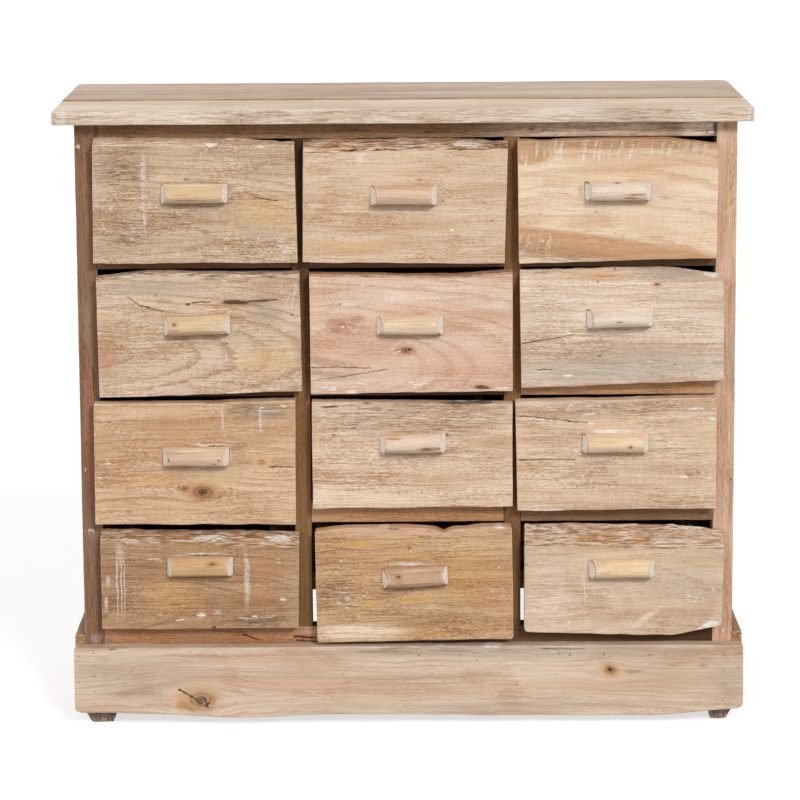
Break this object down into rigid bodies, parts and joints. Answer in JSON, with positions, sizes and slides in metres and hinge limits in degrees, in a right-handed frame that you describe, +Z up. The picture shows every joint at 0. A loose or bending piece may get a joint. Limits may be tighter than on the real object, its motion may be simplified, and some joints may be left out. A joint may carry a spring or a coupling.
{
  "type": "chest of drawers",
  "caption": "Floor-standing chest of drawers in rough reclaimed wood, with wooden runners, split-branch handles, a plank top and a board plinth on short feet.",
  "frame": {"origin": "centre of the object's bounding box at floor level", "axes": "+X to the right along the width, +Y back from the drawer fronts, +Z up"},
  "size_m": [0.9, 0.3862, 0.816],
  "materials": {
    "top_wood": "weathered, unfinished, sanded",
    "front_wood": "rough-sawn, unfinished",
    "frame_wood": "rough-sawn, unfinished",
    "panel_wood": "rough-sawn, unfinished",
    "plinth_wood": "sanded, unfinished",
    "inner_wood": "planed, unfinished",
    "handle_wood": "peeled, smooth",
    "foot_wood": "rough, dark",
    "nail_steel": "dull, oxidised"
  },
  "bodies": {
    "carcass": {"top_board_front": "top_wood", "top_board_middle": "top_wood", "top_board_rear": "top_wood", "post_front_left": "frame_wood", "post_front_right": "frame_wood", "post_rear_left": "frame_wood", "post_rear_right": "frame_wood", "side_panel_left": "panel_wood", "side_panel_right": "panel_wood", "back_panel": "panel_wood", "mullion_left": "frame_wood", "mullion_right": "frame_wood", "rail_top": "frame_wood", "rail_row_1": "frame_wood", "rail_row_2": "frame_wood", "rail_row_3": "frame_wood", "rail_bottom": "frame_wood", "rear_rails": "inner_wood", "drawer_runners": "inner_wood", "plinth_front": "plinth_wood", "plinth_left": "plinth_wood", "plinth_right": "plinth_wood", "feet": "foot_wood", "plinth_nails": "nail_steel"},
    "drawer_r1c1": {"drawer_r1c1_front": "front_wood", "drawer_r1c1_box": "inner_wood", "drawer_r1c1_handle": "handle_wood"},
    "drawer_r1c2": {"drawer_r1c2_front": "front_wood", "drawer_r1c2_box": "inner_wood", "drawer_r1c2_handle": "handle_wood"},
    "drawer_r1c3": {"drawer_r1c3_front": "front_wood", "drawer_r1c3_box": "inner_wood", "drawer_r1c3_handle": "handle_wood"},
    "drawer_r2c1": {"drawer_r2c1_front": "front_wood", "drawer_r2c1_box": "inner_wood", "drawer_r2c1_handle": "handle_wood"},
    "drawer_r2c2": {"drawer_r2c2_front": "front_wood", "drawer_r2c2_box": "inner_wood", "drawer_r2c2_handle": "handle_wood"},
    "drawer_r2c3": {"drawer_r2c3_front": "front_wood", "drawer_r2c3_box": "inner_wood", "drawer_r2c3_handle": "handle_wood"},
    "drawer_r3c1": {"drawer_r3c1_front": "front_wood", "drawer_r3c1_box": "inner_wood", "drawer_r3c1_handle": "handle_wood"},
    "drawer_r3c2": {"drawer_r3c2_front": "front_wood", "drawer_r3c2_box": "inner_wood", "drawer_r3c2_handle": "handle_wood"},
    "drawer_r3c3": {"drawer_r3c3_front": "front_wood", "drawer_r3c3_box": "inner_wood", "drawer_r3c3_handle": "handle_wood"},
    "drawer_r4c1": {"drawer_r4c1_front": "front_wood", "drawer_r4c1_box": "inner_wood", "drawer_r4c1_handle": "handle_wood"},
    "drawer_r4c2": {"drawer_r4c2_front": "front_wood", "drawer_r4c2_box": "inner_wood", "drawer_r4c2_handle": "handle_wood"},
    "drawer_r4c3": {"drawer_r4c3_front": "front_wood", "drawer_r4c3_box": "inner_wood", "drawer_r4c3_handle": "handle_wood"}
  },
  "joints": [
    {"name": "drawer_r1c1_slide", "type": "slide", "parent": "carcass", "child": "drawer_r1c1", "axis": [0, -1, 0], "range_m": [0, 0.24]},
    {"name": "drawer_r1c2_slide", "type": "slide", "parent": "carcass", "child": "drawer_r1c2", "axis": [0, -1, 0], "range_m": [0, 0.24]},
    {"name": "drawer_r1c3_slide", "type": "slide", "parent": "carcass", "child": "drawer_r1c3", "axis": [0, -1, 0], "range_m": [0, 0.24]},
    {"name": "drawer_r2c1_slide", "type": "slide", "parent": "carcass", "child": "drawer_r2c1", "axis": [0, -1, 0], "range_m": [0, 0.24]},
    {"name": "drawer_r2c2_slide", "type": "slide", "parent": "carcass", "child": "drawer_r2c2", "axis": [0, -1, 0], "range_m": [0, 0.24]},
    {"name": "drawer_r2c3_slide", "type": "slide", "parent": "carcass", "child": "drawer_r2c3", "axis": [0, -1, 0], "range_m": [0, 0.24]},
    {"name": "drawer_r3c1_slide", "type": "slide", "parent": "carcass", "child": "drawer_r3c1", "axis": [0, -1, 0], "range_m": [0, 0.24]},
    {"name": "drawer_r3c2_slide", "type": "slide", "parent": "carcass", "child": "drawer_r3c2", "axis": [0, -1, 0], "range_m": [0, 0.24]},
    {"name": "drawer_r3c3_slide", "type": "slide", "parent": "carcass", "child": "drawer_r3c3", "axis": [0, -1, 0], "range_m": [0, 0.24]},
    {"name": "drawer_r4c1_slide", "type": "slide", "parent": "carcass", "child": "drawer_r4c1", "axis": [0, -1, 0], "range_m": [0, 0.24]},
    {"name": "drawer_r4c2_slide", "type": "slide", "parent": "carcass", "child": "drawer_r4c2", "axis": [0, -1, 0], "range_m": [0, 0.24]},
    {"name": "drawer_r4c3_slide", "type": "slide", "parent": "carcass", "child": "drawer_r4c3", "axis": [0, -1, 0], "range_m": [0, 0.24]}
  ]
}
